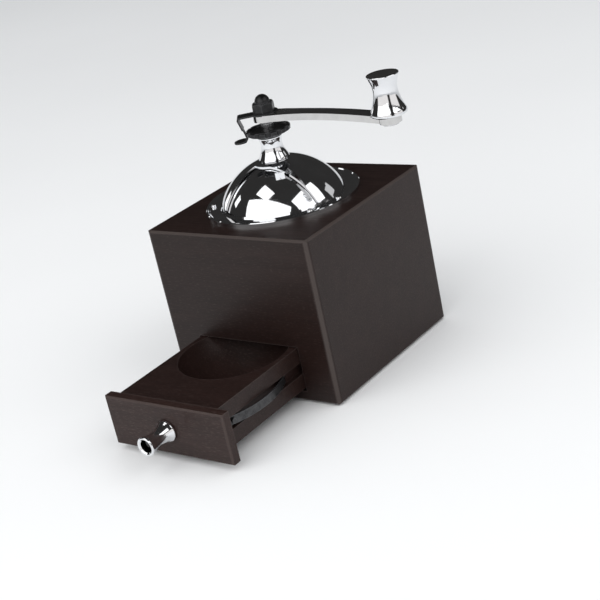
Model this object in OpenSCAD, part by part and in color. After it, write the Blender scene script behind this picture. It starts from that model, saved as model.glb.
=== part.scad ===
// Hand-cranked box grinder: wooden body, chrome dome, crank and a pull-out drawer.
// Units are millimetres. +Z is up, the drawer pulls out towards -Y.
// The origin is the centre of the footprint, at the plane the felt pad stands on.

/* [Body] */
// Width and depth of the wooden box
body_w = 80; // [60:1:120]
// Height of the top face above the ground
body_top = 69; // [60:1:100]
// Radius of the upright edges
edge_r = 2.2; // [0:0.1:6]
// Bevel along the top and bottom edges
edge_bevel = 0.8; // [0:0.1:3]
// Gap the felt pad leaves under the box
pad_gap = 0.6; // [0.2:0.1:3]
// Width of the drawer opening
opening_w = 50; // [40:1:60]
// Height of the drawer opening
opening_h = 19; // [14:1:26]
// Wood left under the drawer opening
sill_z = 5; // [3:0.5:10]
// Thickness of the four walls
wall = 5.5; // [4:0.5:10]
// Thickness of the top board
top_board = 9; // [8:0.5:14]

/* [Drawer] */
// How far the drawer stands out
drawer_out = 48.7; // [0:0.1:60]
// Width of the drawer block
block_w = 49; // [38:0.5:58]
// Height of the drawer block
block_h = 17.3; // [12:0.1:22]
// Length of the drawer block
block_len = 74; // [60:1:78]
// Width of the drawer front
front_w = 59; // [50:1:70]
// Height of the drawer front
front_h = 20.8; // [16:0.1:24]
// Thickness of the drawer front
front_t = 4; // [2:0.1:6]
// Radius of the round bowl milled in the block
bowl_r = 22.5; // [16:0.5:24]
// Depth of the bowl
bowl_depth = 14.2; // [8:0.1:16]

/* [Dish and dome] */
// Outer radius of the chrome dish
dish_r = 31.4; // [28:0.1:38]
// Height of the dish rim above the box
dish_rim_h = 1.5; // [0.5:0.1:4]
// Outer radius of the dome's sphere
dome_r = 28; // [24:0.1:34]
// Height of the dome's top above the ground
dome_top = 86.5; // [80:0.5:100]
// Sheet thickness of the dome
dome_t = 0.8; // [0.5:0.1:1.5]

/* [Crank] */
// Distance from the spindle to the crank knob
crank_len = 61; // [45:1:90]
// Angle of the crank seen from above
crank_angle = -2.7; // [-180:0.1:180]
// Angle of the catch's finger tab seen from above
catch_angle = -143; // [-180:1:180]
// Thickness of the crank arm
arm_t = 2.6; // [2:0.1:5]
// How far the arm bows up
arm_bow = 1.25; // [0.5:0.05:4]

/* [Grinding gear] */
// Radius of the spindle
spindle_r = 2.5; // [2:0.1:4]
// Number of notches in the adjusting wheel
wheel_notches = 12; // [6:1:24]
// Number of cutting flutes on the inner burr
cone_flutes = 12; // [6:1:20]
// Number of cutting flutes in the outer burr
ring_flutes = 18; // [8:1:30]

/* [Hidden] */
$fn = 64;
eps = 0.05;
half = body_w / 2;
pad_half = 34;
pad_inlay = 1;
pad_top = pad_gap + pad_inlay;
ceiling_z = sill_z + opening_h;
// Half the space between the walls, and the boards fitted in it
room = half - wall;
board_half = room - 0.1;
// The drawer runs on two glide strips
glide_h = 1.2;
glide_w = 5;
glide_x = 17;
block_z = sill_z + glide_h + 0.1;
block_top = block_z + block_h;
block_front = -half - drawer_out;
block_back = block_front + block_len;
front_z = block_top - front_h;
bowl_y = -drawer_out;
bowl_sphere_r = (bowl_r * bowl_r + bowl_depth * bowl_depth) / (2 * bowl_depth);
bowl_sphere_z = block_top - bowl_depth + bowl_sphere_r;
// Side grooves of the block, for the leaf springs
groove_h = 4.8;
groove_d = 2.2;
groove_z = block_z + 6.1;
groove_inset = 4;
leaf_t = 0.5;
leaf_h = 3.4;
leaf_arc_r = 37.7;
leaf_arc_x = 10.7;
leaf_half_angle = 27.2;
leaf_y = block_front + 23.2;
leaf_z = groove_z + (groove_h - leaf_h) / 2;
leaf_pin_y = leaf_y - 16.2;
leaf_pin_z = groove_z + groove_h / 2;
leaf_hole_r = 0.6;
leaf_nail_r = 0.5;
leaf_head_x = 23.9;
// Space between the guide rails, where the springs relax when the drawer is shut
rail_gap_z = groove_z - 1.6;
rail_gap_h = groove_h + 3.2;
dowel_x = 15;
dowel_r = 2;
// Drawer knob
knob_z = front_z + 10.2;
knob_y = block_front - front_t;
knob_len = 12.6;
// Hopper and burrs
hopper_r = 24;
hopper_cone_z = 50;
seat_z = 40;
flange_t = 2;
flange_r = 20.5;
ring_r = 16;
ring_z = 28;
cone_z = 29;
cone_top = 41;
screw_ring_r = 18.3;
ring_screw = [1, 1.8, 11];
bridge_screw = [1, 2, 12];
bridge_z = ceiling_z + 0.6;
bridge_t = 2;
bridge_len = 42;
bridge_w = 9;
bridge_screw_x = 18.6;
journal_r = 1.7;
clip_z = 28.1;
clip_t = 0.7;
clip_groove_r = 1.4;
square_w = 3.5;
collar_z = 58;
collar_t = 1.5;
collar_r = 4.6;
spring_wire_r = 0.6;
spring_mean_r = 4;
spring_turns = 6;
spring_steps = 18;
spring_sides = 8;
cap_top = 80.5;
cap_t = 1.3;
spring_start = collar_z + collar_t + spring_wire_r;
// Room above the spring for the burr's lift
lift_room = 0.45;
spring_rise = cap_top - cap_t - lift_room - spring_wire_r - spring_start;
// Neck, wheel, catch and crank
rim_step = 0.8;
dome_zc = dome_top - dome_r;
dome_base = body_top + rim_step;
door_r = dome_r - dome_t - 0.3;
door_t = 0.6;
neck_top = 95;
neck_foot_r = 6.1;
stem_r = 4.6;
stem_z = 80.6;
stem_nut_z = 81.2;
stem_nut_t = 2.4;
bush_r = 3.4;
washer_t = 0.5;
wheel_z = neck_top + washer_t;
wheel_rim_z = 96.7;
wheel_top = 98.6;
wheel_r = 8.9;
arm_z = 101.9;
arm_top = arm_z + arm_t;
hub_r = 5;
eye_r = 4.3;
catch_plate_t = 0.6;
nut_z = arm_top + catch_plate_t;
catch_w = 6;
nut_af = 8;
nut_hex_h = 3.8;
nut_dome_r = 3.05;
nut_dome_z = nut_z + nut_hex_h + 0.2;
thread_r = 2.5;
thread_pitch = 0.8;
knob_base = arm_top + 0.35;
crank_knob_h = 15.35;
knob_foot_r = 6.95;
axle_r = 2;
nail_angles = [-31, -2, -149, 182];
nail_ring_r = 28.6;
nail_depth = 7;
nail_head_r = 1.2;

// Sub-part to show, or all of them

wood = [0.18, 0.13, 0.12];
steel = [0.62, 0.63, 0.65];
chrome = [0.8, 0.81, 0.83];
black_steel = [0.12, 0.12, 0.13];
brass = [0.75, 0.6, 0.3];
felt = [0.2, 0.2, 0.2];
plastic = [0.9, 0.89, 0.85];

// A box given by its two opposite corners
module span(lo, hi)
{
    translate(lo)
        cube(hi - lo);
}

// A tube around Z between two heights
module tube(r_in, r_out, z0, z1)
{
    difference()
    {
        translate([0, 0, z0])
            cylinder(r = r_out, h = z1 - z0);
        translate([0, 0, z0 - 1])
            cylinder(r = r_in, h = z1 - z0 + 2);
    }
}

// A rod around Z between two heights
module rod(r, z0, z1)
{
    translate([0, 0, z0])
        cylinder(r = r, h = z1 - z0);
}

// A shape repeated at each of the given angles around Z
module around(angles)
{
    for (a = angles)
        rotate([0, 0, a])
            children();
}

// A smooth curve through the points p, with n steps between each two
function between(p, i, t) =
    let (
        a = p[max(i - 1, 0)],
        b = p[i],
        c = p[i + 1],
        e = p[min(i + 2, len(p) - 1)]
    )
    0.5 * (2 * b + (c - a) * t + (2 * a - 5 * b + 4 * c - e) * t * t + (3 * b - a - 3 * c + e) * t * t * t);

function smooth(p, n) =
    concat([for (i = [0 : len(p) - 2]) for (k = [0 : n - 1]) between(p, i, k / n)], [p[len(p) - 1]]);

// A countersunk wood screw along +Z, its head's face at the origin. size is [shank, head, length]
module wood_screw(size)
{
    shank_r = size[0];
    head_r = size[1];
    len = size[2];
    difference()
    {
        union()
        {
            cylinder(r1 = head_r, r2 = shank_r, h = head_r - shank_r + 0.3);
            cylinder(r = shank_r, h = len - 2);
            translate([0, 0, len - 2])
                cylinder(r1 = shank_r, r2 = 0.2, h = 2);
        }
        span([-head_r, -0.25, -1], [head_r, 0.25, 0.6]);
    }
}

// The hole a wood screw sits in, a hair larger than the screw
module screw_hole(size)
{
    shank_r = size[0];
    head_r = size[1];
    len = size[2];
    gap = 0.05;
    translate([0, 0, -1])
        cylinder(r = head_r + gap, h = 1);
    cylinder(r1 = head_r + gap, r2 = shank_r + gap, h = head_r - shank_r + 0.3);
    cylinder(r = shank_r + gap, h = len - 2);
    translate([0, 0, len - 2])
        cylinder(r1 = shank_r + gap, r2 = 0.25, h = 2.1);
}

// Felt pad let into the underside
module base_pad()
{
    color(felt)
        span([-pad_half, -pad_half, 0], [pad_half, pad_half, pad_top]);
}

// The rounded upright block before anything is cut from it
module block_blank()
{
    h = body_top - pad_gap;
    translate([0, 0, pad_gap])
    {
        span([-half + edge_r, -half, 0], [half - edge_r, half, h]);
        span([-half, -half + edge_r, 0], [half, half - edge_r, h]);
        for (x = [-1, 1])
            for (y = [-1, 1])
                translate([x * (half - edge_r), y * (half - edge_r), 0])
                    cylinder(r = edge_r, h = h);
    }
}

// Prisms that bevel the four edges of one end of the block
module edge_bevels(z)
{
    side = edge_bevel * sqrt(2);
    for (a = [0, 90, 180, 270])
        rotate([0, 0, a])
            translate([0, -half, z])
                rotate([45, 0, 0])
                    cube([body_w + 2, side, side], center = true);
}

// The box: four walls and a top board, open below
module body_block()
{
    color(wood)
        difference()
        {
            block_blank();
            edge_bevels(body_top);
            edge_bevels(pad_gap);
            span([-room, -room, 0], [room, room, body_top - top_board]);
            span([-opening_w / 2, -half - 1, sill_z], [opening_w / 2, -room + 1, ceiling_z]);
            rod(hopper_r, body_top - top_board - 1, body_top + 1);
            around(nail_angles)
                translate([nail_ring_r, 0, body_top - nail_depth - 0.1])
                    cylinder(r = 0.65, h = nail_depth + 1);
        }
}

// The floor, fitted between the walls above the felt
module base_board()
{
    color(wood)
        span([-board_half, -board_half, pad_top], [board_half, board_half, sill_z]);
}

// The block under the top board: the funnel, the burr's seat and the outlet
module hopper_block()
{
    gap = 0.2;
    color(wood)
        difference()
        {
            span([-board_half, -board_half, ceiling_z], [board_half, board_half, body_top - top_board]);
            rod(hopper_r, hopper_cone_z, body_top);
            translate([0, 0, seat_z + flange_t])
                cylinder(r1 = flange_r + 0.1, r2 = hopper_r, h = hopper_cone_z - seat_z - flange_t);
            rod(flange_r + 0.1, seat_z, seat_z + flange_t + eps);
            rod(ring_r + 0.3, ceiling_z - 1, seat_z + eps);
            // recess for the lower bridge
            span([-bridge_len / 2 - gap, -bridge_w / 2 - gap, ceiling_z - 1],
                 [bridge_len / 2 + gap, bridge_w / 2 + gap, bridge_z + bridge_t]);
            for (x = [-1, 1])
                translate([x * bridge_screw_x, 0, bridge_z])
                    screw_hole(bridge_screw);
            for (y = [-1, 1])
                translate([0, y * screw_ring_r, seat_z + flange_t])
                    mirror([0, 0, 1])
                        screw_hole(ring_screw);
        }
}

// Two rails on each side of the drawer, the leaf springs running between them
module drawer_guides()
{
    inner = opening_w / 2;
    color(wood)
        for (s = [0, 1])
            mirror([s, 0, 0])
            {
                span([inner, -board_half, sill_z], [board_half, board_half, rail_gap_z]);
                span([inner, -board_half, rail_gap_z + rail_gap_h], [board_half, board_half, ceiling_z]);
            }
}

module glide_strips()
{
    color(plastic)
        for (x = [-1, 1])
            span([x * glide_x - glide_w / 2, -half + 2, sill_z],
                 [x * glide_x + glide_w / 2, room - 1, sill_z + glide_h]);
}

module dish()
{
    rim = dish_r - 0.7;
    collar_r = hopper_r - 0.1;
    flat_z = body_top + rim_step;
    color(chrome)
        difference()
        {
            rotate_extrude()
                polygon([
                    [collar_r - 1.1, body_top - top_board],
                    [collar_r, body_top - top_board],
                    [collar_r, body_top],
                    [dish_r, body_top],
                    [dish_r, body_top + dish_rim_h - 0.3],
                    [dish_r - 0.3, body_top + dish_rim_h],
                    [rim, body_top + dish_rim_h],
                    [rim - 0.3, flat_z + 0.3],
                    [rim - 0.85, flat_z],
                    [collar_r - 1.1, flat_z]]);
            around(nail_angles)
                translate([nail_ring_r, 0, body_top - 1])
                    cylinder(r = 0.75, h = 4);
        }
}

module rim_nails()
{
    head_z = body_top + rim_step;
    color(chrome)
        around(nail_angles)
            translate([nail_ring_r, 0, 0])
            {
                rod(0.6, body_top - nail_depth, head_z + 0.4);
                translate([0, 0, head_z])
                    rotate_extrude()
                        polygon([
                            [0, 0],
                            [nail_head_r, 0],
                            [nail_head_r, 0.5],
                            [1.05, 0.95],
                            [0.65, 1.25],
                            [0, 1.35]]);
            }
}

// Plan of the filling opening: a radial edge on the left, a straight one on the right
module opening_plan()
{
    reach = 40;
    left = -120;
    edge_y = -8;
    inner_r = 8.7;
    outer_r = 25.2;
    difference()
    {
        polygon([
            [3, edge_y],
            [reach, edge_y],
            [reach, -reach],
            [reach * cos(left), reach * sin(left)],
            [7 * cos(left), 7 * sin(left)]]);
        circle(r = inner_r);
        difference()
        {
            circle(r = reach * 2);
            circle(r = outer_r);
        }
    }
}

module dome_shell()
{
    color(chrome)
        difference()
        {
            translate([0, 0, dome_zc])
                sphere(r = dome_r);
            translate([0, 0, dome_zc])
                sphere(r = dome_r - dome_t);
            span([-body_w, -body_w, 0], [body_w, body_w, dome_base]);
            rod(stem_r + 0.1, dome_base, dome_top + 1);
            translate([0, 0, dome_base - 1])
                linear_extrude(height = 30)
                    opening_plan();
        }
}

module dome_door()
{
    rib_r = 14.2;
    rib_z = dome_zc + 22.8;
    first_angle = -124;
    sweep = 114;
    rib_angle = -54;
    color(chrome)
    {
        intersection()
        {
            difference()
            {
                translate([0, 0, dome_zc])
                    sphere(r = door_r);
                translate([0, 0, dome_zc])
                    sphere(r = door_r - door_t);
                rod(stem_r + 0.4, dome_base, dome_top + 1);
            }
            union()
            {
                rod(8.4, dome_base, dome_top);
                rotate([0, 0, first_angle])
                    translate([0, 0, dome_base + 0.5])
                        rotate_extrude(angle = sweep)
                            square([dome_r, dome_top - dome_base]);
            }
        }
        // the finger rib that stands up through the filling opening
        rotate([0, 0, rib_angle])
            rotate_extrude(angle = 14)
                translate([rib_r - 0.5, rib_z - 0.5])
                    square([1, 3]);
    }
}

module neck()
{
    // outer line from the foot to the top, as [radius, height]
    line = smooth([
        [neck_foot_r + 0.1, 86.3],
        [neck_foot_r - 0.15, 86.9],
        [5.5, 87.8],
        [5.05, 88.7],
        [4.62, 89.8],
        [4.38, 91],
        [4.36, 92.2],
        [4.5, 93.3],
        [4.72, 94.2],
        [4.85, 94.7]], 3);
    color(chrome)
        difference()
        {
            rotate_extrude()
                polygon(concat(
                    [[0, stem_z], [stem_r, stem_z], [stem_r, 86.26], [neck_foot_r, 85.93]],
                    line,
                    [[4.85, neck_top], [0, neck_top]]));
            rod(bush_r + 0.03, stem_z - 1, neck_top + 1);
        }
}

module neck_bush()
{
    color(brass)
        tube(spindle_r + 0.05, bush_r, stem_z, neck_top);
}

// The nut that holds the neck, the dome and the door's hub together
module stem_nut()
{
    color(steel)
        difference()
        {
            translate([0, 0, stem_nut_z])
                cylinder(r = 7, h = stem_nut_t, $fn = 6);
            rod(stem_r + 0.05, stem_nut_z - 1, stem_nut_z + stem_nut_t + 1);
        }
}

module ring_burr()
{
    color(steel)
        difference()
        {
            union()
            {
                rod(ring_r, ring_z, seat_z + eps);
                rod(flange_r, seat_z, seat_z + flange_t);
            }
            translate([0, 0, ring_z - eps])
                cylinder(r1 = 12.5, r2 = 9.6, h = 12);
            translate([0, 0, ring_z + 11.9])
                cylinder(r1 = 9.6, r2 = 12.6, h = 2.3);
            for (i = [0 : ring_flutes - 1])
                rotate([0, 0, i * 360 / ring_flutes])
                    translate([9.6, 0, seat_z + 1])
                        rotate([0, 13.6, 18])
                            cube([2.2, 1, 30], center = true);
            for (y = [-1, 1])
                translate([0, y * screw_ring_r, seat_z + flange_t])
                    mirror([0, 0, 1])
                        screw_hole(ring_screw);
        }
}

module ring_screws()
{
    color(steel)
        for (y = [-1, 1])
            translate([0, y * screw_ring_r, seat_z + flange_t])
                mirror([0, 0, 1])
                    wood_screw(ring_screw);
}

module lower_bridge()
{
    color(steel)
        difference()
        {
            union()
            {
                span([-bridge_len / 2, -bridge_w / 2, bridge_z],
                     [bridge_len / 2, bridge_w / 2, bridge_z + bridge_t]);
                rod(3.4, bridge_z, bridge_z + bridge_t + 1);
            }
            rod(journal_r + 0.05, bridge_z - 1, bridge_z + 5);
            for (x = [-1, 1])
                translate([x * bridge_screw_x, 0, bridge_z])
                    screw_hole(bridge_screw);
        }
}

module bridge_screws()
{
    color(steel)
        for (x = [-1, 1])
            translate([x * bridge_screw_x, 0, bridge_z])
                wood_screw(bridge_screw);
}

module cone_burr()
{
    color(steel)
        difference()
        {
            translate([0, 0, cone_z])
            {
                cylinder(r = 11.5, h = 1.2);
                translate([0, 0, 1.2])
                    cylinder(r1 = 11.5, r2 = 5, h = cone_top - cone_z - 1.2);
            }
            for (i = [0 : cone_flutes - 1])
                rotate([0, 0, i * 360 / cone_flutes])
                    translate([9, 0, cone_z + 5.5])
                        rotate([0, -31, -22])
                            cube([1.6, 1.2, 24], center = true);
            translate([-square_w / 2 - 0.05, -square_w / 2 - 0.05, cone_z - 1])
                cube([square_w + 0.1, square_w + 0.1, cone_top - cone_z + 2]);
        }
}

module cone_clip()
{
    color(steel)
        difference()
        {
            tube(clip_groove_r + 0.03, 3.6, clip_z, clip_z + clip_t);
            span([-0.9, 0, clip_z - 1], [0.9, 5, clip_z + clip_t + 1]);
        }
}

module spindle()
{
    thread_z = 91;
    rings = floor((arm_z - thread_z) / thread_pitch);
    color(steel)
        difference()
        {
            union()
            {
                rod(journal_r, bridge_z + 0.2, cone_z);
                translate([-square_w / 2, -square_w / 2, cone_z - 0.1])
                    cube([square_w, square_w, cone_top - cone_z + 1]);
                rod(spindle_r, cone_top, arm_z - 0.02);
                rod(collar_r, collar_z, collar_z + collar_t);
                translate([-square_w / 2, -square_w / 2, arm_z - 0.5])
                    cube([square_w, square_w, nut_z - arm_z + 0.6]);
                rod(thread_r, nut_z, nut_z + nut_hex_h);
            }
            // groove for the clip under the inner burr
            tube(clip_groove_r, 3, clip_z - 0.05, clip_z + clip_t + 0.05);
            // thread grooves, as rings
            for (i = [0 : rings - 1])
                translate([0, 0, thread_z + i * thread_pitch])
                    rotate_extrude()
                        polygon([[3, -0.1], [3, 0.5], [2.5, 0.4], [2.15, 0.25], [2.15, 0.15], [2.5, 0]]);
        }
}

// Points of the spring's wire: a ring of corners at each step along the helix
function spring_corner(i, j) =
    let (
        turn = 360 * i / spring_steps,
        side = 360 * j / spring_sides,
        r = spring_mean_r + spring_wire_r * cos(side),
        z = spring_start + spring_rise * i / (spring_steps * spring_turns) + spring_wire_r * sin(side)
    )
    [r * cos(turn), r * sin(turn), z];

module thrust_spring()
{
    rings = spring_steps * spring_turns;
    n = spring_sides;
    points = [for (i = [0 : rings]) for (j = [0 : n - 1]) spring_corner(i, j)];
    walls = [for (i = [0 : rings - 1]) for (j = [0 : n - 1])
        [i * n + j, i * n + (j + 1) % n, (i + 1) * n + (j + 1) % n, (i + 1) * n + j]];
    first = [for (j = [n - 1 : -1 : 0]) j];
    last = [for (j = [0 : n - 1]) rings * n + j];
    color(steel)
        polyhedron(points, concat(walls, [first], [last]));
}

// Turns with the spindle but stays at one height under the bush
module spring_cap()
{
    color(steel)
        tube(spindle_r + 0.05, 5.2, cap_top - cap_t, cap_top);
}

module wheel_washer()
{
    color(brass)
        tube(spindle_r + 0.05, 4.6, neck_top + 0.05, neck_top + washer_t);
}

module adjusting_wheel()
{
    color(black_steel)
        difference()
        {
            rotate_extrude()
                polygon([
                    [2.55, wheel_z],
                    [5.6, wheel_z],
                    [6.4, wheel_z + 0.5],
                    [8.5, wheel_rim_z],
                    [wheel_r, wheel_rim_z + 0.3],
                    [wheel_r, wheel_top - 0.3],
                    [wheel_r - 0.4, wheel_top],
                    [7.4, wheel_top],
                    [6.9, wheel_top - 0.7],
                    [2.55, wheel_top - 0.7]]);
            for (i = [0 : wheel_notches - 1])
                rotate([0, 0, catch_angle + i * 360 / wheel_notches])
                    translate([wheel_r + 0.5, 0, wheel_z])
                        cylinder(r = 1.3, h = 6);
        }
}

// Side profile of the catch, as points [radius, height]
module catch_profile()
{
    polygon([
        [10.2, nut_z - catch_plate_t],
        [10.2, nut_z],
        [11, nut_z - 0.2],
        [11.3, nut_z - 1],
        [9.6, wheel_top - 0.6],
        [9.1, wheel_z + 0.4],
        [9.6, wheel_z - 0.1],
        [14.2, wheel_z - 0.4],
        [14.2, wheel_z - 1],
        [9.3, wheel_z - 0.8],
        [8.4, wheel_z + 0.2],
        [8.9, wheel_top - 0.6],
        [10.6, nut_z - 1.2],
        [10.3, nut_z - catch_plate_t]]);
}

module catch_spring()
{
    color(black_steel)
        rotate([0, 0, catch_angle])
        {
            difference()
            {
                union()
                {
                    rod(5.4, nut_z - catch_plate_t, nut_z);
                    span([0, -catch_w / 2, nut_z - catch_plate_t], [10.3, catch_w / 2, nut_z]);
                }
                rod(thread_r + 0.1, nut_z - 2, nut_z + 1);
            }
            intersection()
            {
                rotate([90, 0, 0])
                    translate([0, 0, -catch_w / 2])
                        linear_extrude(height = catch_w)
                            catch_profile();
                union()
                {
                    // narrow nose at the wheel, full width above, rounded finger tab below
                    span([9, -catch_w / 2, wheel_top + 1.2], [12, catch_w / 2, nut_z + 1]);
                    span([8, -0.9, wheel_z - 2], [12, 0.9, wheel_top + 1.3]);
                    translate([11.3, 0, wheel_z - 2])
                        cylinder(r = 2.95, h = 2.2);
                }
            }
        }
}

// Plan of the bar between the arm's two ends, its width waisting in from the hub
module bar_plan()
{
    edge = [[0, hub_r], [6, 4.5], [13, 3.8], [22, 3.3], [32, 3.2], [crank_len - 2, 3.2]];
    far = [for (p = edge) [p[0], -p[1]]];
    polygon(concat(edge, [for (i = [len(far) - 1 : -1 : 0]) far[i]]));
}

module crank_arm()
{
    bow_r = (crank_len * crank_len / 4 + arm_bow * arm_bow) / (2 * arm_bow);
    color(steel)
        rotate([0, 0, crank_angle])
            difference()
            {
                union()
                {
                    rod(hub_r, arm_z, arm_top);
                    translate([crank_len, 0, 0])
                        rod(eye_r, arm_z, arm_top);
                    // the bowed bar between the two flat ends
                    intersection()
                    {
                        translate([crank_len / 2, hub_r + 1, arm_top + arm_bow - bow_r])
                            rotate([90, 0, 0])
                                difference()
                                {
                                    cylinder(r = bow_r, h = 2 * hub_r + 2, $fn = 360);
                                    translate([0, 0, -1])
                                        cylinder(r = bow_r - arm_t, h = 2 * hub_r + 4, $fn = 360);
                                }
                        translate([0, 0, arm_z - 1])
                            linear_extrude(height = 12)
                                bar_plan();
                    }
                }
                translate([-square_w / 2 - 0.05, -square_w / 2 - 0.05, arm_z - 3])
                    cube([square_w + 0.1, square_w + 0.1, 10]);
                translate([crank_len, 0, 0])
                    rod(axle_r + 0.03, arm_z - 3, arm_top + 5);
                // flat seats for the catch's plate and for the foot of the knob
                rod(hub_r + 0.5, arm_top, arm_top + 3);
                translate([crank_len, 0, 0])
                    rod(knob_foot_r + 0.25, arm_top, arm_top + 3);
            }
}

module cap_nut()
{
    color(black_steel)
        difference()
        {
            union()
            {
                intersection()
                {
                    translate([0, 0, nut_z])
                        cylinder(d = nut_af / cos(30), h = nut_hex_h, $fn = 6);
                    // chamfer on the hexagon's upper corners
                    translate([0, 0, nut_z])
                        cylinder(r1 = nut_af / 2 + 2.3, r2 = nut_af / 2 + 0.1, h = nut_hex_h);
                }
                rod(nut_dome_r + 0.35, nut_z + 0.2, nut_dome_z);
                rotate_extrude()
                    intersection()
                    {
                        translate([0, nut_dome_z])
                            circle(r = nut_dome_r);
                        translate([0, nut_z])
                            square([nut_af, 2 * nut_af]);
                    }
            }
            rod(thread_r + 0.05, nut_z - 1, nut_z + nut_hex_h + 0.2);
        }
}

module knob_axle()
{
    color(steel)
        rotate([0, 0, crank_angle])
            translate([crank_len, 0, 0])
            {
                // riveted foot under the arm, shank, and the head that keeps the knob on
                rod(3, arm_z - 0.8, arm_z);
                rod(axle_r, arm_z - 0.1, knob_base + 9);
                rod(2.9, knob_base + 9, knob_base + 10.2);
            }
}

module knob_washer()
{
    color(steel)
        rotate([0, 0, crank_angle])
            translate([crank_len, 0, 0])
                tube(axle_r + 0.05, eye_r - 0.1, arm_top, knob_base - 0.05);
}

module crank_knob()
{
    h = crank_knob_h;
    // side line from the foot to the top rim, as [radius, height]
    line = smooth([
        [6.4, 0],
        [6.85, 0.35],
        [knob_foot_r, 0.95],
        [6.75, 1.75],
        [6.3, 2.75],
        [5.85, 3.8],
        [5.42, 5.1],
        [5.05, 6.6],
        [4.78, 8],
        [4.67, 9.3],
        [4.74, 10.6],
        [4.98, 11.8],
        [5.35, 12.95],
        [5.75, 14],
        [6.02, 14.7],
        [6.08, 15],
        [5.95, h - 0.08],
        [5.7, h]], 3);
    color(chrome)
        rotate([0, 0, crank_angle])
            translate([crank_len, 0, knob_base])
                difference()
                {
                    rotate_extrude()
                        polygon(concat(
                            [[0, 0]],
                            line,
                            [[5.3, h - 0.1], [4.6, h - 0.35], [3, h - 0.5], [0, h - 0.55]]));
                    rod(axle_r + 0.05, -1, 9.1);
                    rod(3.1, 8.9, 10.4);
                }
}

module drawer_block()
{
    x = block_w / 2;
    color(wood)
        difference()
        {
            span([-x, block_front, block_z], [x, block_back, block_top]);
            translate([0, bowl_y, bowl_sphere_z])
                sphere(r = bowl_sphere_r);
            for (s = [-1, 1])
            {
                span([s > 0 ? x - groove_d : -x - 1, block_front + groove_inset, groove_z],
                     [s > 0 ? x + 1 : -x + groove_d, block_back + 1, groove_z + groove_h]);
                translate([s * 17.9, leaf_pin_y, leaf_pin_z])
                    rotate([0, s * 90, 0])
                        cylinder(r = leaf_nail_r + 0.05, h = 6);
                translate([s * dowel_x, block_front - 1, knob_z])
                    rotate([-90, 0, 0])
                        cylinder(r = dowel_r + 0.05, h = 9.1);
            }
            translate([0, block_front - 1, knob_z])
                rotate([-90, 0, 0])
                    cylinder(r = 2.3, h = 4);
        }
}

module drawer_front()
{
    x = front_w / 2;
    color(wood)
        difference()
        {
            span([-x, block_front - front_t, front_z], [x, block_front, block_top]);
            for (s = [-1, 1])
                translate([s * dowel_x, block_front - 2.1, knob_z])
                    rotate([-90, 0, 0])
                        cylinder(r = dowel_r + 0.05, h = 4);
            translate([0, block_front - 6, knob_z])
                rotate([-90, 0, 0])
                    cylinder(r = 1.1, h = 8);
            // fine bevel round the outer face
            for (s = [-1, 1])
            {
                translate([s * x, block_front - front_t, 0])
                    rotate([0, 0, 45])
                        cube([0.8, 0.8, 100], center = true);
                translate([0, block_front - front_t, s > 0 ? block_top : front_z])
                    rotate([45, 0, 0])
                        cube([100, 0.8, 0.8], center = true);
            }
        }
}

module drawer_dowels()
{
    color(wood)
        for (s = [-1, 1])
            translate([s * dowel_x, block_front - 2, knob_z])
                rotate([-90, 0, 0])
                    cylinder(r = dowel_r, h = 9.9);
}

module drawer_knob()
{
    // side line from the foot to the open end, as [radius, distance from the front]
    line = smooth([
        [4.3, 0],
        [4.55, 0.3],
        [4.55, 0.9],
        [4.2, 1.6],
        [3.75, 2.5],
        [3.35, 3.7],
        [3.02, 5.1],
        [2.9, 6.5],
        [3, 8],
        [3.3, 9.5],
        [3.65, 10.8],
        [3.88, 11.8],
        [3.86, 12.3],
        [3.6, knob_len]], 3);
    color(chrome)
        translate([0, knob_y, knob_z])
            rotate([90, 0, 0])
                difference()
                {
                    rotate_extrude()
                        polygon(concat(
                            [[0, 0]],
                            line,
                            [[3.1, knob_len - 0.1],
                             [2.65, knob_len - 0.6],
                             [2.4, knob_len - 3],
                             [1.6, knob_len - 3.5],
                             [0, knob_len - 3.6]]));
                    rod(1.05, -1, 6.2);
                }
}

module drawer_knob_screw()
{
    color(steel)
        translate([0, block_front + 2, knob_z])
            rotate([90, 0, 0])
            {
                rod(1, 0, front_t + 2 + 6);
                rod(2.1, 0, 1.8);
            }
}

// One leaf spring on the +X side, bowed out of its groove
module leaf_spring()
{
    difference()
    {
        translate([-leaf_arc_x, leaf_y, leaf_z])
            rotate([0, 0, -leaf_half_angle])
                rotate_extrude(angle = 2 * leaf_half_angle)
                    translate([leaf_arc_r - leaf_t, 0])
                        square([leaf_t, leaf_h]);
        translate([20, leaf_pin_y, leaf_pin_z])
            rotate([0, 90, 0])
                cylinder(r = leaf_hole_r, h = 8);
    }
}

module leaf_spring_right()
{
    color(black_steel)
        leaf_spring();
}

module leaf_spring_left()
{
    color(black_steel)
        mirror([1, 0, 0])
            leaf_spring();
}

module leaf_nails()
{
    color(steel)
        for (s = [0, 1])
            mirror([s, 0, 0])
                translate([18, leaf_pin_y, leaf_pin_z])
                    rotate([0, 90, 0])
                    {
                        cylinder(r = leaf_nail_r, h = leaf_head_x - 18 + 0.1);
                        translate([0, 0, leaf_head_x - 18])
                            cylinder(r = 1.1, h = 0.5);
                    }
}

base_pad();
body_block();
base_board();
hopper_block();
drawer_guides();
glide_strips();
dish();
rim_nails();
dome_shell();
dome_door();
neck();
neck_bush();
stem_nut();
ring_burr();
ring_screws();
lower_bridge();
bridge_screws();
cone_burr();
cone_clip();
spindle();
thrust_spring();
spring_cap();
wheel_washer();
adjusting_wheel();
catch_spring();
crank_arm();
cap_nut();
knob_axle();
knob_washer();
crank_knob();
drawer_block();
drawer_front();
drawer_dowels();
drawer_knob();
drawer_knob_screw();
leaf_spring_right();
leaf_spring_left();
leaf_nails();
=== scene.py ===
import math

import bpy
from mathutils import Matrix, Vector

# ---------------------------------------------------------------- sizes, in metres

MM = 0.001

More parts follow.
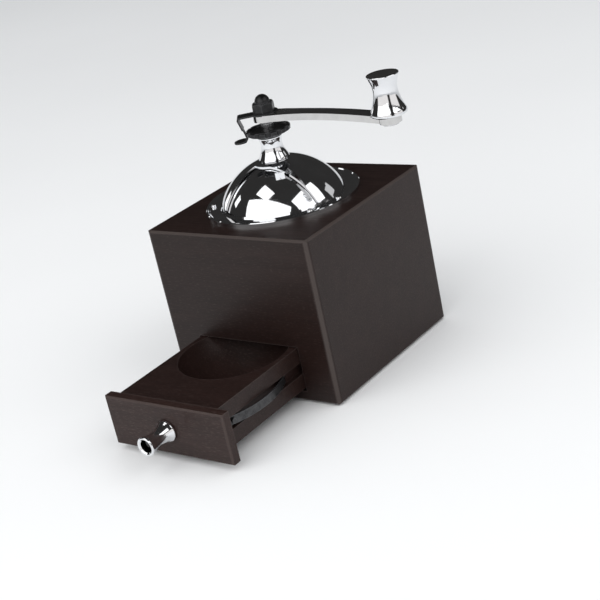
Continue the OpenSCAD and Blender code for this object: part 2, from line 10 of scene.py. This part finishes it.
# The camera of the photograph: where it stands, what it looks at, how far it is rolled
CAMERA_AT = Vector((0.3470, -0.4020, 0.2412))
CAMERA_AIM = Vector((-0.0018, -0.0016, 0.0239))
CAMERA_ROLL = math.radians(-12.56)
CAMERA_LENS_MM = 83.15
CAMERA_SENSOR_MM = 36.0
CAMERA_NEAREST = 0.01

FLOOR_RADIUS = 6.0
FLOOR_SIDES = 64
LIT_POINT = Vector((0.0, 0.0, 0.07))

# Width of the small roundings that catch the light along edges
WOOD_ROUNDING = 0.22 * MM
DISH_ROUNDING = 0.2 * MM
METAL_ROUNDING = 0.12 * MM
SHARP_ANGLE = math.radians(40)

# How far wear reaches in from an edge; on wood the same band also carries a painted highlight
WOOD_WEAR_AND_HIGHLIGHT_REACH = 0.7 * MM
STEEL_WEAR_REACH = 0.3 * MM

# How near the walls of a recess stand for painted shade to darken its inside
RECESS_DEPTH = 6 * MM

# The angle of the crank arm from the X axis in the photograph
CRANK_TURN = math.radians(2.7)

# ---------------------------------------------------------------- light, as radiance

ROOM_LIGHT = 0.66
CARD_LIGHT = 0.03
SCREEN_LIGHT = 0.95
ROOM_COLOUR = (0.96, 0.98, 1.0, 1)
CARD_COLOUR = (1.0, 0.97, 0.95, 1)

# A screen's side and upper borders fade over these widths
SCREEN_SIDE_FADE = 0.05
SCREEN_TOP_FADE = 0.04

# ---------------------------------------------------------------- grain, as noise scales per metre

WOOD_FIBRES = 1500.0
WOOD_BANDS = 190.0
WOOD_CLOUDS = 28.0
WOOD_FLECKS = 2300.0
FIBRE_STRETCH = (0.07, 1.0, 1.0)
FLECK_STRETCH = (0.22, 1.0, 1.0)
EDGE_WEAR_AND_HIGHLIGHT_SPECKLE = 420.0


# ---------------------------------------------------------------- node helpers

def grey(value):
    return (value, value, value, 1)


class Nodes:
    """A node tree, with short calls for the nodes used below. A value may be a socket or a constant."""

    def __init__(self, tree):
        self.tree = tree
        self.tree.nodes.clear()

    def node(self, kind, **settings):
        n = self.tree.nodes.new(kind)
        for key, value in settings.items():
            setattr(n, key, value)
        return n

    def link(self, a, b):
        self.tree.links.new(a, b)

    def feed(self, socket, value):
        if isinstance(value, bpy.types.NodeSocket):
            self.link(value, socket)
        else:
            socket.default_value = value

    def math(self, operation, a, b):
        n = self.node("ShaderNodeMath", operation=operation)
        self.feed(n.inputs[0], a)
        self.feed(n.inputs[1], b)
        return n.outputs["Value"]

    def dot(self, a, b):
        n = self.node("ShaderNodeVectorMath", operation="DOT_PRODUCT")
        self.feed(n.inputs[0], a)
        self.feed(n.inputs[1], b)
        return n.outputs["Value"]

    def parts(self, vector):
        n = self.node("ShaderNodeSeparateXYZ")
        self.link(vector, n.inputs[0])
        return n.outputs

    def span(self, value, start=(0.0, 1.0), end=(0.0, 1.0)):
        """Maps the range start to the range end, and holds the ends."""
        n = self.node("ShaderNodeMapRange")
        n.inputs["From Min"].default_value, n.inputs["From Max"].default_value = start
        n.inputs["To Min"].default_value, n.inputs["To Max"].default_value = end
        self.link(value, n.inputs["Value"])
        return n.outputs["Result"]


class Shader(Nodes):
    """A material of one Principled surface."""

    def __init__(self, name):
        self.material = bpy.data.materials.new(name)
        self.material.use_nodes = True
        super().__init__(self.material.node_tree)
        out = self.node("ShaderNodeOutputMaterial")
        self.surface = self.node("ShaderNodeBsdfPrincipled")
        self.link(self.surface.outputs["BSDF"], out.inputs["Surface"])

    def set(self, **values):
        """The surface's inputs, with underscores for the spaces in their names."""
        for key, value in values.items():
            self.feed(self.surface.inputs[key.replace("_", " ")], value)

    def coordinates(self, scale=(1, 1, 1), rotation=(0, 0, 0), location=(0, 0, 0)):
        """Object coordinates, stretched, turned and moved."""
        where = self.node("ShaderNodeTexCoord")
        mapping = self.node("ShaderNodeMapping")
        mapping.inputs["Scale"].default_value = scale
        mapping.inputs["Rotation"].default_value = rotation
        mapping.inputs["Location"].default_value = location
        self.link(where.outputs["Object"], mapping.inputs["Vector"])
        return mapping.outputs["Vector"]

    def noise(self, vector, scale, detail=4.0, rough=0.55, distortion=0.0):
        n = self.node("ShaderNodeTexNoise")
        n.inputs["Scale"].default_value = scale
        n.inputs["Detail"].default_value = detail
        n.inputs["Roughness"].default_value = rough
        n.inputs["Distortion"].default_value = distortion
        self.link(vector, n.inputs["Vector"])
        return n.outputs["Fac"]

    def ramp(self, value, low, high):
        """A colour ramp between two stops, each a position and a colour or grey."""
        n = self.node("ShaderNodeValToRGB")
        for element, (position, colour) in zip(n.color_ramp.elements, (low, high)):
            element.position = position
            element.color = colour if isinstance(colour, tuple) else grey(colour)
        self.link(value, n.inputs["Fac"])
        return n.outputs["Color"]

    def mix(self, factor, a, b):
        """Mixes two colours."""
        n = self.node("ShaderNodeMix", data_type="RGBA")
        for socket, value in (("Factor", factor), ("A", a), ("B", b)):
            self.feed(n.inputs[socket], value)
        return n.outputs["Result"]

    def bump(self, height, strength, distance, below=None):
        """A normal bent by a height in metres. below is another bump that it lies over."""
        n = self.node("ShaderNodeBump")
        n.inputs["Strength"].default_value = strength
        n.inputs["Distance"].default_value = distance
        self.link(height, n.inputs["Height"])
        if below is not None:
            self.link(below, n.inputs["Normal"])
        return n.outputs["Normal"]

    def edge_wear_and_highlight(self, reach, strength):
        """Up to strength within reach of an edge and 0 elsewhere, broken up by a fine noise. It masks edge
        wear, and on wood also a painted highlight along the edges.
        """
        rounded = self.node("ShaderNodeBevel", samples=6)
        rounded.inputs["Radius"].default_value = reach
        geometry = self.node("ShaderNodeNewGeometry")
        agree = self.dot(rounded.outputs["Normal"], geometry.outputs["Normal"])
        edge = self.ramp(agree, (0.90, strength), (0.992, 0.0))
        speckle = self.noise(self.coordinates(), EDGE_WEAR_AND_HIGHLIGHT_SPECKLE, detail=3.0)
        return self.math("MULTIPLY", edge, self.ramp(speckle, (0.30, 0.70), (0.60, 1.0)))

    def rounding_wear_and_highlight(self, strength):
        """Up to strength on the roundings between faces that are square to the axes, 0 on the faces. It
        masks wear with a painted highlight on those roundings.
        """
        where = self.node("ShaderNodeTexCoord")
        size = self.node("ShaderNodeVectorMath", operation="ABSOLUTE")
        self.link(where.outputs["Normal"], size.inputs[0])
        x, y, z = self.parts(size.outputs["Vector"])
        largest = self.math("MAXIMUM", self.math("MAXIMUM", x, y), z)
        return self.ramp(largest, (0.86, strength), (0.985, 0.0))


# ---------------------------------------------------------------- materials

def stained_wood(name, seed=0.0, shade=1.0, wear_and_highlight=0.45, square=True):
    """Matt dark-brown stained beech, its fibres along X, pale along its edges with wear and a painted
    highlight.

    seed moves the grain, and shade multiplies the stain's tones. square says that the piece's flat
    faces all lie along the axes, so that its roundings can be found by the way they face."""
    s = Shader(name)
    fibre_at = s.coordinates(scale=FIBRE_STRETCH, location=(seed, seed * 0.7, seed * 0.3))
    fleck_at = s.coordinates(scale=FLECK_STRETCH, location=(seed * 2, seed, 0.0))
    even_at = s.coordinates(location=(seed, 0.0, seed))
    fibres = s.noise(fibre_at, WOOD_FIBRES, detail=6.0, rough=0.62)
    bands = s.noise(fibre_at, WOOD_BANDS, detail=3.0, rough=0.5, distortion=0.4)
    clouds = s.noise(even_at, WOOD_CLOUDS, detail=3.0)
    flecks = s.ramp(s.noise(fleck_at, WOOD_FLECKS, detail=2.0, rough=0.4), (0.56, 0.0), (0.72, 1.0))

    def tone(r, g, b):
        return (r * shade, g * shade, b * shade, 1.0)

    base = s.ramp(bands, (0.25, tone(0.0130, 0.0060, 0.0048)), (0.75, tone(0.0240, 0.0120, 0.0101)))
    cloudy = s.mix(s.math("MULTIPLY", clouds, 0.55), base, tone(0.0210, 0.0105, 0.0089))
    fibred = s.mix(s.ramp(fibres, (0.30, 0.0), (0.70, 0.55)), cloudy, tone(0.0080, 0.0038, 0.0031))
    flecked = s.mix(s.math("MULTIPLY", flecks, 0.45), fibred, tone(0.048, 0.0330, 0.0290))
    edges = s.edge_wear_and_highlight(WOOD_WEAR_AND_HIGHLIGHT_REACH, wear_and_highlight)
    if square:
        edges = s.math("MAXIMUM", edges, s.rounding_wear_and_highlight(wear_and_highlight))
    fine = s.bump(fibres, strength=0.34, distance=0.07 * MM)
    # Along edges and roundings the stain turns pale grey-brown: partly wear, partly a painted highlight.
    s.set(Base_Color=s.mix(edges, flecked, tone(0.105, 0.0860, 0.0790)),
          Roughness=s.ramp(fibres, (0.2, 0.31), (0.8, 0.46)),
          Specular_IOR_Level=0.24,
          Normal=s.bump(bands, strength=0.12, distance=0.12 * MM, below=fine))
    return s.material


def plain_wood(name):
    """Unstained beech, for the hidden dowels."""
    s = Shader(name)
    fibres = s.noise(s.coordinates(scale=(1.0, 0.08, 1.0)), 900.0, detail=5.0)
    s.set(Base_Color=s.ramp(fibres, (0.3, (0.50, 0.35, 0.21, 1)), (0.7, (0.68, 0.52, 0.35, 1))),
          Roughness=s.ramp(fibres, (0.0, 0.5), (1.0, 0.7)),
          Normal=s.bump(fibres, strength=0.3, distance=0.08 * MM))
    return s.material


def chrome(name, smudge=1.0, hollow=False):
    """Mirror plating with faint polishing haze, finger marks and a soft waviness.

    hollow paints shade, near black, into the inside of a recess where its walls stand close."""
    s = Shader(name)
    at = s.coordinates()
    marks = s.noise(at, 150.0, detail=5.0, rough=0.6, distortion=0.6)
    plating = s.ramp(marks, (0.30, (0.77, 0.78, 0.80, 1)), (0.75, (0.84, 0.85, 0.87, 1)))
    if hollow:
        # Painted shade: the plating's colour goes near black where the walls of a recess stand close.
        around = s.node("ShaderNodeAmbientOcclusion", samples=8, only_local=True)
        around.inputs["Distance"].default_value = RECESS_DEPTH
        walled = s.ramp(around.outputs["AO"], (0.45, 1.0), (0.75, 0.0))
        plating = s.mix(walled, plating, grey(0.012))
    smudged = s.ramp(marks, (0.48, 0.035), (0.78, 0.035 + 0.075 * smudge))
    haze = s.ramp(s.noise(at, 900.0, detail=3.0), (0.3, 0.03), (0.8, 0.12))
    waves = s.noise(at, 55.0, detail=1.0)
    s.set(Metallic=1.0,
          Base_Color=plating,
          Roughness=s.mix(0.25, smudged, haze),
          Normal=s.bump(waves, strength=0.05, distance=0.4 * MM))
    return s.material


def polished_steel(name, along_turn):
    """Bar steel with fine polishing lines along its length, which lies along_turn from the X axis."""
    s = Shader(name)
    lines_at = s.coordinates(scale=(0.05, 1.0, 1.0), rotation=(0, 0, along_turn))
    lines = s.noise(lines_at, 3500.0, detail=3.0)
    marks = s.noise(s.coordinates(), 120.0, detail=4.0, distortion=0.4)
    lined = s.ramp(lines, (0.2, 0.10), (0.8, 0.20))
    marked = s.ramp(marks, (0.4, 0.08), (0.8, 0.2))
    s.set(Metallic=1.0,
          Base_Color=s.ramp(marks, (0.3, (0.52, 0.515, 0.51, 1)), (0.8, (0.66, 0.655, 0.65, 1))),
          Roughness=s.mix(0.5, lined, marked),
          Normal=s.bump(lines, strength=0.10, distance=0.02 * MM))
    return s.material


def black_steel(name, tone=0.028, rough=0.34):
    """Black-oxide steel, worn a little brighter along its edges."""
    s = Shader(name)
    marks = s.noise(s.coordinates(), 500.0, detail=5.0, rough=0.6)
    dark = (tone * 0.8, tone * 0.8, tone * 0.84, 1)
    light = (tone * 1.9, tone * 1.9, tone * 1.95, 1)
    oxide = s.ramp(marks, (0.3, dark), (0.8, light))
    s.set(Metallic=0.85,
          Base_Color=s.mix(s.edge_wear_and_highlight(STEEL_WEAR_REACH, 0.5), oxide, (0.22, 0.22, 0.23, 1)),
          Roughness=s.ramp(marks, (0.2, rough - 0.08), (0.8, rough + 0.12)),
          Normal=s.bump(marks, strength=0.12, distance=0.03 * MM))
    return s.material


def machined_steel(name, tone, rough, ring_scale=2600.0):
    """Turned or ground steel with fine lathe rings around Z."""
    s = Shader(name)
    rings = s.noise(s.coordinates(scale=(0.15, 0.15, 1.0)), ring_scale, detail=2.0)
    marks = s.noise(s.coordinates(), 300.0, detail=4.0)
    low = (tone * 0.85, tone * 0.85, tone * 0.86, 1)
    high = (tone * 1.12, tone * 1.12, tone * 1.14, 1)
    s.set(Metallic=1.0,
          Base_Color=s.ramp(marks, (0.3, low), (0.75, high)),
          Roughness=s.ramp(marks, (0.2, rough - 0.06), (0.8, rough + 0.10)),
          Normal=s.bump(rings, strength=0.15, distance=0.02 * MM))
    return s.material


def brass(name):
    """Turned brass, dulled in patches."""
    s = Shader(name)
    marks = s.noise(s.coordinates(), 350.0, detail=4.0)
    s.set(Metallic=1.0,
          Base_Color=s.ramp(marks, (0.3, (0.62, 0.44, 0.18, 1)), (0.8, (0.78, 0.60, 0.30, 1))),
          Roughness=s.ramp(marks, (0.2, 0.18), (0.8, 0.36)))
    return s.material


def felt(name):
    """Pressed black felt with short stray fibres."""
    s = Shader(name)
    hairs = s.noise(s.coordinates(), 2600.0, detail=6.0, rough=0.7, distortion=1.0)
    s.set(Base_Color=s.ramp(hairs, (0.25, (0.012, 0.012, 0.012, 1)), (0.8, (0.07, 0.068, 0.066, 1))),
          Roughness=0.95,
          Sheen_Weight=0.4,
          Sheen_Roughness=0.6,
          Normal=s.bump(hairs, strength=0.7, distance=0.3 * MM))
    return s.material


def glide_plastic(name):
    """Hard off-white plastic, lightly scuffed."""
    s = Shader(name)
    marks = s.noise(s.coordinates(), 800.0, detail=4.0)
    s.set(Base_Color=s.ramp(marks, (0.3, (0.66, 0.64, 0.58, 1)), (0.8, (0.80, 0.78, 0.72, 1))),
          Roughness=s.ramp(marks, (0.2, 0.42), (0.8, 0.58)),
          Normal=s.bump(marks, strength=0.15, distance=0.03 * MM))
    return s.material


def floor_paint(name):
    """Plain pale backdrop."""
    s = Shader(name)
    tone = s.noise(s.coordinates(), 3.0, detail=2.0)
    s.set(Base_Color=s.ramp(tone, (0.3, 0.92), (0.7, 0.95)), Roughness=0.9, Specular_IOR_Level=0.1)
    return s.material


# ---------------------------------------------------------------- dressing the CAD pieces

def dress(nodes, material, rounding=0.0):
    """Gives CAD nodes their material and, where asked, small lit roundings along their sharp edges."""
    for node in nodes:
        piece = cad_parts[node]
        piece.data.materials.clear()
        piece.data.materials.append(material)
        if rounding:
            bevel = piece.modifiers.new("rounding", "BEVEL")
            bevel.width = rounding
            bevel.segments = 2
            bevel.limit_method = "ANGLE"
            bevel.angle_limit = SHARP_ANGLE


def dress_wood():
    # Every stain is pale along its edges, partly from wear and partly from a painted highlight.
    box_wood = stained_wood("box_wood")
    dress(["body_block"], box_wood, WOOD_ROUNDING)
    dress(["base_board", "hopper_block", "drawer_guides"], box_wood)
    drawer_wood = stained_wood("drawer_wood", seed=0.31, shade=1.2, wear_and_highlight=0.25, square=False)
    dress(["drawer_block"], drawer_wood, WOOD_ROUNDING)
    # The drawer front's stain is 1.6 times lighter: painted light, for the brighter light the front
    # catches.
    front_wood = stained_wood("drawer_front_wood_painted_light", seed=0.57, shade=1.6, wear_and_highlight=0.22)
    dress(["drawer_front"], front_wood, WOOD_ROUNDING)
    dress(["drawer_dowels"], plain_wood("dowel_wood"))


def dress_chrome():
    mirror = chrome("chrome")
    dress(["dome_shell", "neck", "crank_knob"], mirror)
    dress(["dome_door"], mirror, METAL_ROUNDING)
    dress(["dish"], mirror, DISH_ROUNDING)
    # The drawer knob's chrome has painted shade inside its hollow.
    dress(["drawer_knob"], chrome("knob_chrome", hollow=True))
    dress(["rim_nails"], chrome("nail_chrome", smudge=0.4))


def dress_black_steel():
    black = black_steel("black_steel")
    dress(["cap_nut", "adjusting_wheel", "catch_spring"], black, METAL_ROUNDING)
    dress(["wheel_washer", "drawer_knob_screw"], black)
    leaf = black_steel("leaf_steel", tone=0.055, rough=0.30)
    dress(["leaf_spring_right", "leaf_spring_left"], leaf, METAL_ROUNDING)
    dress(["leaf_nails"], leaf)


def dress_bright_metal():
    dress(["crank_arm"], polished_steel("arm_steel", CRANK_TURN), METAL_ROUNDING)
    bright = machined_steel("zinc_steel", tone=0.60, rough=0.24)
    dress(["stem_nut", "ring_screws", "lower_bridge", "bridge_screws", "cone_clip"], bright)
    dress(["thrust_spring", "spring_cap", "knob_axle", "knob_washer"], bright)
    dress(["spindle"], machined_steel("spindle_steel", tone=0.36, rough=0.26))
    burr = machined_steel("burr_steel", tone=0.34, rough=0.36, ring_scale=1400.0)
    dress(["ring_burr", "cone_burr"], burr)
    dress(["neck_bush"], brass("turned_brass"))


def dress_all():
    dress_wood()
    dress_chrome()
    dress_black_steel()
    dress_bright_metal()
    dress(["base_pad"], felt("felt"))
    dress(["glide_strips"], glide_plastic("glide_plastic"))


# ---------------------------------------------------------------- stage, lights, camera

def make_floor():
    turns = [2 * math.pi * i / FLOOR_SIDES for i in range(FLOOR_SIDES)]
    ring = [(FLOOR_RADIUS * math.cos(turn), FLOOR_RADIUS * math.sin(turn), 0.0) for turn in turns]
    mesh = bpy.data.meshes.new("floor")
    mesh.from_pydata(ring, [], [list(range(FLOOR_SIDES))])
    mesh.materials.append(floor_paint("floor_paint"))
    floor = bpy.data.objects.new("floor", mesh)
    bpy.context.scene.collection.objects.link(floor)


def softbox(name, towards, distance, size, radiance):
    """A soft white lamp that shines on the object from the given direction."""
    direction = Vector(towards).normalized()
    data = bpy.data.lights.new(name, "AREA")
    data.shape = "RECTANGLE"
    data.size, data.size_y = size
    data.energy = radiance * math.pi * size[0] * size[1]
    light = bpy.data.objects.new(name, data)
    light.location = LIT_POINT + direction * distance
    light.rotation_euler = (-direction).to_track_quat("-Z", "Y").to_euler()
    bpy.context.scene.collection.objects.link(light)


def make_lights():
    softbox("front", towards=(-0.01, -0.75, 0.58), distance=0.95, size=(1.56, 0.62), radiance=1.45)
    softbox("front_tip", towards=(-0.20, -0.36, 0.84), distance=1.10, size=(0.50, 0.34), radiance=1.45)
    softbox("right", towards=(0.72, 0.08, 0.62), distance=0.95, size=(0.86, 0.52), radiance=1.45)
    softbox("left_card", towards=(-0.90, -0.18, 0.40), distance=1.10, size=(0.16, 0.22), radiance=1.5)
    softbox("left_strip", towards=(-0.98, 0.16, 0.12), distance=1.10, size=(0.24, 0.20), radiance=1.4)
    softbox("back_right", towards=(0.56, 0.76, 0.38), distance=1.30, size=(0.34, 0.30), radiance=0.6)


def screen(world, towards, half_width, top):
    """1 where a pale screen stands round the table and 0 elsewhere.

    It reaches half_width to either side of towards, and up to top, the sine of its elevation."""
    way = world.node("ShaderNodeTexCoord").outputs["Generated"]
    borders = (math.cos(half_width + SCREEN_SIDE_FADE), math.cos(half_width - SCREEN_SIDE_FADE))
    across = world.span(world.dot(way, Vector(towards).normalized()), start=borders)
    up = world.span(world.parts(way)["Z"], start=(top + SCREEN_TOP_FADE, top))
    return world.math("MULTIPLY", across, up)


def background(world, colour, strength):
    n = world.node("ShaderNodeBackground")
    n.inputs["Color"].default_value = colour
    world.feed(n.inputs["Strength"], strength)
    return n.outputs["Background"]


def make_surroundings():
    """An even room for matt surfaces. Glossy ones mirror dark cards with two pale screens between them."""
    studio = bpy.data.worlds.new("studio")
    bpy.context.scene.world = studio
    studio.use_nodes = True
    world = Nodes(studio.node_tree)
    front = screen(world, towards=(0.03, -1.0, 0.15), half_width=math.radians(44), top=0.30)
    right = screen(world, towards=(1.0, 0.08, 0.15), half_width=math.radians(30), top=0.32)
    glow = world.span(world.math("MAXIMUM", front, right), end=(CARD_LIGHT, SCREEN_LIGHT))
    mix = world.node("ShaderNodeMixShader")
    world.link(world.node("ShaderNodeLightPath").outputs["Is Glossy Ray"], mix.inputs[0])
    world.link(background(world, ROOM_COLOUR, ROOM_LIGHT), mix.inputs[1])
    world.link(background(world, CARD_COLOUR, glow), mix.inputs[2])
    world.link(mix.outputs["Shader"], world.node("ShaderNodeOutputWorld").inputs["Surface"])


def make_camera():
    data = bpy.data.cameras.new("camera")
    data.sensor_width = CAMERA_SENSOR_MM
    data.lens = CAMERA_LENS_MM
    data.clip_start = CAMERA_NEAREST
    camera = bpy.data.objects.new("camera", data)
    look = (CAMERA_AIM - CAMERA_AT).to_track_quat("-Z", "Y").to_matrix().to_4x4()
    camera.matrix_world = Matrix.Translation(CAMERA_AT) @ look @ Matrix.Rotation(CAMERA_ROLL, 4, "Z")
    bpy.context.scene.collection.objects.link(camera)
    bpy.context.scene.camera = camera


# ---------------------------------------------------------------- the scene

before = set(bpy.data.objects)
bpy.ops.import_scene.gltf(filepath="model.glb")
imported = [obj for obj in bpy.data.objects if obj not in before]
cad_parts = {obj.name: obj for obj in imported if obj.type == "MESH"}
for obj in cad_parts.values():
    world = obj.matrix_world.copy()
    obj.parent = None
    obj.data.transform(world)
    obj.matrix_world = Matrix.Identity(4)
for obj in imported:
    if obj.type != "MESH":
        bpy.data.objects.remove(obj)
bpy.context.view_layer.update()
bpy.context.scene.view_settings.view_transform = "Standard"
dress_all()
make_floor()
make_lights()
make_surroundings()
make_camera()
